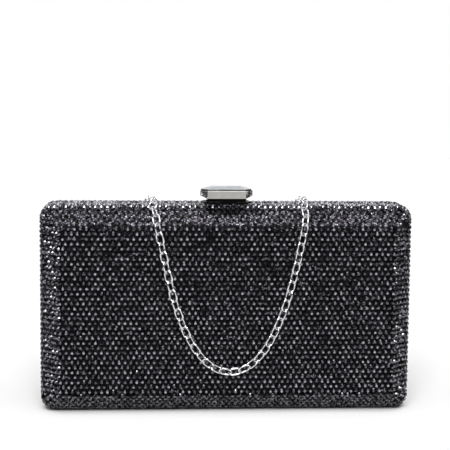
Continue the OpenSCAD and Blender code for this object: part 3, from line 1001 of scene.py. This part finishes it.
def makePocket():
    low, high = (Vector(c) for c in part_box("slip_pocket"))
    startFresh()
    bpy.ops.mesh.primitive_grid_add(
        x_subdivisions=44,
        y_subdivisions=24,
        size=1,
        location=(0, (low.y + high.y) / 2, (low.z + high.z) / 2),
        rotation=(math.radians(90), 0, 0),
    )
    pocket = named("slipPocket")
    pocket.scale = (high.x - low.x, high.z - low.z, 1)
    settle(pocket)
    for vertex in pocket.data.vertices:
        u = abs(vertex.co.x) / high.x
        v = (vertex.co.z - low.z) / (high.z - low.z)
        gape = inside["pocketGape"] * v ** 3 * (1 - u ** 4)
        wave = inside["waveHeight"] * noise.noise(vertex.co / inside["waveLength"])
        vertex.co.y -= gape + wave
    applyModifier(pocket, "SOLIDIFY", thickness=inside["pocketThick"], offset=0)
    smoothByAngle(pocket, 50)
    dress(pocket, cloth, "rear_half", "lining_black", "slip_pocket")


def foldShape(a):  # 0 at the outer folds and 1 at the inner ones, softly rounded
    fold = 1 - abs((inside["pleats"] * a) % 1 * 2 - 1)
    soft = inside["foldRound"]
    return 0.5 - 0.5 * math.cos(math.pi * fold) * soft + (fold - 0.5) * (1 - soft)


def makeGusset(name, side, node):
    wall = bag["width"] / 2 - inside["wallGap"]
    startFresh()
    bpy.ops.mesh.primitive_grid_add(x_subdivisions=32, y_subdivisions=26, size=1)
    gusset = named(name)
    for vertex in gusset.data.vertices:
        a, b = vertex.co.x + 0.5, vertex.co.y + 0.5
        reach = inside["foldLow"] + (inside["foldHigh"] - inside["foldLow"]) * b
        vertex.co = Vector((
            side * (wall - foldShape(a) * reach),
            inside["gussetHalf"] * (2 * a - 1),
            inside["gussetLow"] + (inside["gussetHigh"] - inside["gussetLow"]) * b,
        ))
    pickFaces(gusset, lambda center, normal: True)
    bpy.ops.mesh.normals_make_consistent(inside=False)
    leaveEdit()
    applyModifier(gusset, "SOLIDIFY", thickness=inside["gussetThick"], offset=0)
    smoothByAngle(gusset, 40)
    gusset.data.materials.append(cloth)
    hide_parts(node)
    return gusset


makeLinings()
makePocket()
for side, name, node in ((-1, "gussetLeft", "gusset_left"), (1, "gussetRight", "gusset_right")):
    gusset = makeGusset(name, side, node)
    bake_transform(gusset)
print("inside finished")


# clasp: bevelled bezel with a step-cut stone

clasp = dict(
    cut=3.8 * mm,
    taper=1.6 * mm,         # height over which the underside is drawn in
    taperEnds=3.2 * mm,
    taperFront=0.3 * mm,
    seatWall=0.55 * mm,
    seatDepth=1.2 * mm,
    edge=0.13 * mm,
    near=0.01 * mm,         # slack when an edge is picked by its place
)

gem = dict(
    girdle=0.75 * mm,       # dark band of the stone above the seat
    cut=3.6 * mm,
    edge=0.05 * mm,
    steps=(                 # each step's share of the rise, and how much smaller it is
        (0.6, 6 * mm, 3.6 * mm),
        (0.4, 12.2 * mm, 6.4 * mm),
    ),
)


def octagonBlock(name, low, high, cut):
    startFresh()
    bpy.ops.mesh.primitive_cube_add(size=1, location=(low + high) / 2)
    block = named(name)
    block.scale = high - low
    settle(block)
    pickEdges(block, lambda a, b: abs(a.z - b.z) > (high.z - low.z) / 2)
    bpy.ops.mesh.bevel(offset=cut, segments=1, affect="EDGES", clamp_overlap=False)
    leaveEdit()
    return block


def stepFace(piece, rise, scale, center):  # lifts the top face and draws it in
    edge = max(v.co.z for v in piece.data.vertices)
    pickFaces(piece, lambda c, n: abs(n.z) > 0.9 and abs(c.z - edge) < clasp["near"])
    bpy.ops.mesh.extrude_region_move(TRANSFORM_OT_translate={"value": (0, 0, rise)})
    bpy.ops.transform.resize(value=(*scale, 1), center_override=(center.x, center.y, edge + rise))
    leaveEdit()


def drawIn(piece, low, axis, side, edge, amount):  # moves one lower edge of the bezel inwards
    def lowerEdge(a, b):
        under = max(a.z, b.z) < low + clasp["near"]
        return under and min(side * a[axis], side * b[axis]) > edge - clasp["near"]

    move = [0, 0, 0]
    move[axis] = -side * amount
    pickEdges(piece, lowerEdge)
    bpy.ops.transform.translate(value=move)
    leaveEdit()


def makeBezel():
    low, high = Vector(bezelLow), Vector(bezelHigh)
    waist = Vector((low.x, low.y, low.z + clasp["taper"]))
    bezel = octagonBlock("claspBezel", waist, high, clasp["cut"])
    pickFaces(bezel, lambda c, n: n.z < -0.9)
    bpy.ops.mesh.extrude_region_move(TRANSFORM_OT_translate={"value": (0, 0, -clasp["taper"])})
    leaveEdit()
    for side in (-1, 1):
        drawIn(bezel, low.z, 0, side, high.x, clasp["taperEnds"])
    for side in (-1, 1):
        drawIn(bezel, low.z, 1, side, high.y, clasp["taperFront"])
    pickFaces(bezel, lambda c, n: n.z > 0.9)
    bpy.ops.mesh.inset(thickness=clasp["seatWall"], depth=0)
    bpy.ops.mesh.extrude_region_move(TRANSFORM_OT_translate={"value": (0, 0, -clasp["seatDepth"])})
    leaveEdit()
    corner = math.radians(25)
    applyModifier(
        bezel, "BEVEL", width=clasp["edge"], segments=3, limit_method="ANGLE", angle_limit=corner)
    dress(bezel, mirror, "clasp", "clasp_mirror", "clasp_bezel")


def makeGem():
    low, high = Vector(gemLow), Vector(gemHigh)
    center = (low + high) / 2
    girdleTop = Vector((high.x, high.y, bezelHigh[2] + gem["girdle"]))
    piece = octagonBlock("claspStone", low, girdleTop, gem["cut"])
    rise = high.z - girdleTop.z
    size = (high - low).xy
    last = size
    for part, lessX, lessY in gem["steps"]:
        step = size - Vector((lessX, lessY))
        stepFace(piece, part * rise, (step.x / last.x, step.y / last.y), center)
        last = step
    corner = math.radians(12)
    applyModifier(
        piece, "BEVEL", width=gem["edge"], segments=1, limit_method="ANGLE", angle_limit=corner)
    dress(piece, milky, "clasp", "gem_grey", "clasp_gem")
    piece.data.materials.append(black)
    for face in piece.data.polygons:
        girdle = abs(face.normal.z) < 0.2 and face.center.z < girdleTop.z
        face.material_index = 1 if girdle else 0


spring = dict(
    wire=0.25 * mm,
    turns=5,
    steps=16,
    press=1.5 * mm,         # the clasp's travel
)


def makeSpring():  # a coil of wire filling the spring's box
    low, high = (Vector(c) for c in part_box("clasp_spring"))
    middle = (low + high) / 2
    radius = (high.x - low.x) / 2 - spring["wire"]
    line = bpy.data.curves.new("claspSpring", "CURVE")
    line.dimensions = "3D"
    line.bevel_depth = spring["wire"]
    line.bevel_resolution = 2
    line.use_fill_caps = True
    steps = spring["turns"] * spring["steps"]
    spline = line.splines.new("POLY")
    spline.points.add(steps)
    rise = high.z - low.z - 2 * spring["wire"]
    for k, point in enumerate(spline.points):
        angle = 2 * math.pi * k / spring["steps"]
        height = low.z + spring["wire"] + rise * k / steps
        x = middle.x + radius * math.cos(angle)
        y = middle.y + radius * math.sin(angle)
        point.co = (x, y, height, 1)
    coil = bpy.data.objects.new("claspSpring", line)
    bpy.context.collection.objects.link(coil)
    makeActive(coil)
    bpy.ops.object.convert(target="MESH")
    coil = named("claspSpring")
    smoothByAngle(coil, 50)
    dress(coil, latchSteel, "front_half", "latch_steel", "clasp_spring")
    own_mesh(coil)


makeBezel()
makeGem()
makeSpring()
print("clasp finished")


# materials of the parts that keep their CAD shape

keptParts = {
    "front_frame": gunmetal, "rear_frame": gunmetal,
    "front_shell": plastic, "rear_shell": plastic,
    "front_hinge_leaves": hingeSteel, "rear_hinge_leaves": hingeSteel,
    "hinge_pin_left": hingeSteel, "hinge_pin_right": hingeSteel,
    "front_hinge_rivets": latchSteel, "rear_hinge_rivets": latchSteel,
    "clasp_stem": black, "clasp_collar": black,
    "latch_hook": latchSteel, "latch_housing": latchSteel,
    "latch_rivets": latchSteel,
    "catch_plate": latchSteel, "catch_rivets": latchSteel,
}
for node, material in keptParts.items():
    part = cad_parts[node]
    if part.material_slots:
        part.material_slots[0].material = material
    else:
        part.data.materials.append(material)
print("kept parts dressed")


# floor, world and lights

studio = dict(
    paperWidth=1.3,
    paperNear=-2.2,
    paperFar=3.4,
    paperColor=(0.915, 0.915, 0.915),
    worldSeen=1.0,
    worldLight=0.16,
    frontSun=dict(tilt=(48, 0, -6), energy=2.5, angle=36),
    topSun=dict(tilt=(21, 0, 0), energy=1.5, angle=60),
    glowPlace=3.2,          # how far behind the bag the screen stands
    glowSize=(14.0, 6.0),
    glowStrength=1.0,
)


def makePaper():
    startFresh()
    middle = (studio["paperNear"] + studio["paperFar"]) / 2
    bpy.ops.mesh.primitive_plane_add(size=1, location=(0, middle, 0))
    paper = named("paper")
    paper.scale = (studio["paperWidth"], studio["paperFar"] - studio["paperNear"], 1)
    settle(paper)
    material, tree, shader = principled(
        "palePaper", studio["paperColor"], 0.9, Specular_IOR_Level=0.1)
    paper.data.materials.append(material)


def makeWorld():
    world = bpy.data.worlds.new("studio")
    bpy.context.scene.world = world
    world.use_nodes = True
    nodes, links = world.node_tree.nodes, world.node_tree.links
    back = nodes["Background"]
    back.inputs["Color"].default_value = (1, 1, 1, 1)
    path = nodes.new("ShaderNodeLightPath")
    strength = nodes.new("ShaderNodeMapRange")
    strength.inputs["To Min"].default_value = studio["worldLight"]
    strength.inputs["To Max"].default_value = studio["worldSeen"]
    links.new(path.outputs["Is Camera Ray"], strength.inputs["Value"])
    links.new(strength.outputs["Result"], back.inputs["Strength"])


def makeSun(name, tilt, energy, angle):
    bpy.ops.object.light_add(type="SUN", rotation=tuple(math.radians(t) for t in tilt))
    sun = bpy.context.object
    sun.name = name
    sun.data.energy = energy
    sun.data.angle = math.radians(angle)


def makeGlow():  # white screen behind the bag, for what its top mirrors
    width, height = studio["glowSize"]
    bpy.ops.object.light_add(
        type="AREA",
        location=(0, studio["glowPlace"], height / 2),
        rotation=(math.radians(-90), 0, 0),
    )
    glow = bpy.context.object
    glow.name = "backScreen"
    glow.data.shape = "RECTANGLE"
    glow.data.size, glow.data.size_y = width, height
    glow.data.energy = studio["glowStrength"] * math.pi * width * height
    glow.visible_camera = False
    glow.visible_diffuse = False


makePaper()
makeWorld()
makeSun("frontLight", **studio["frontSun"])
makeSun("topLight", **studio["topSun"])
makeGlow()
bpy.context.scene.view_settings.view_transform = "Standard"
print("studio lit")
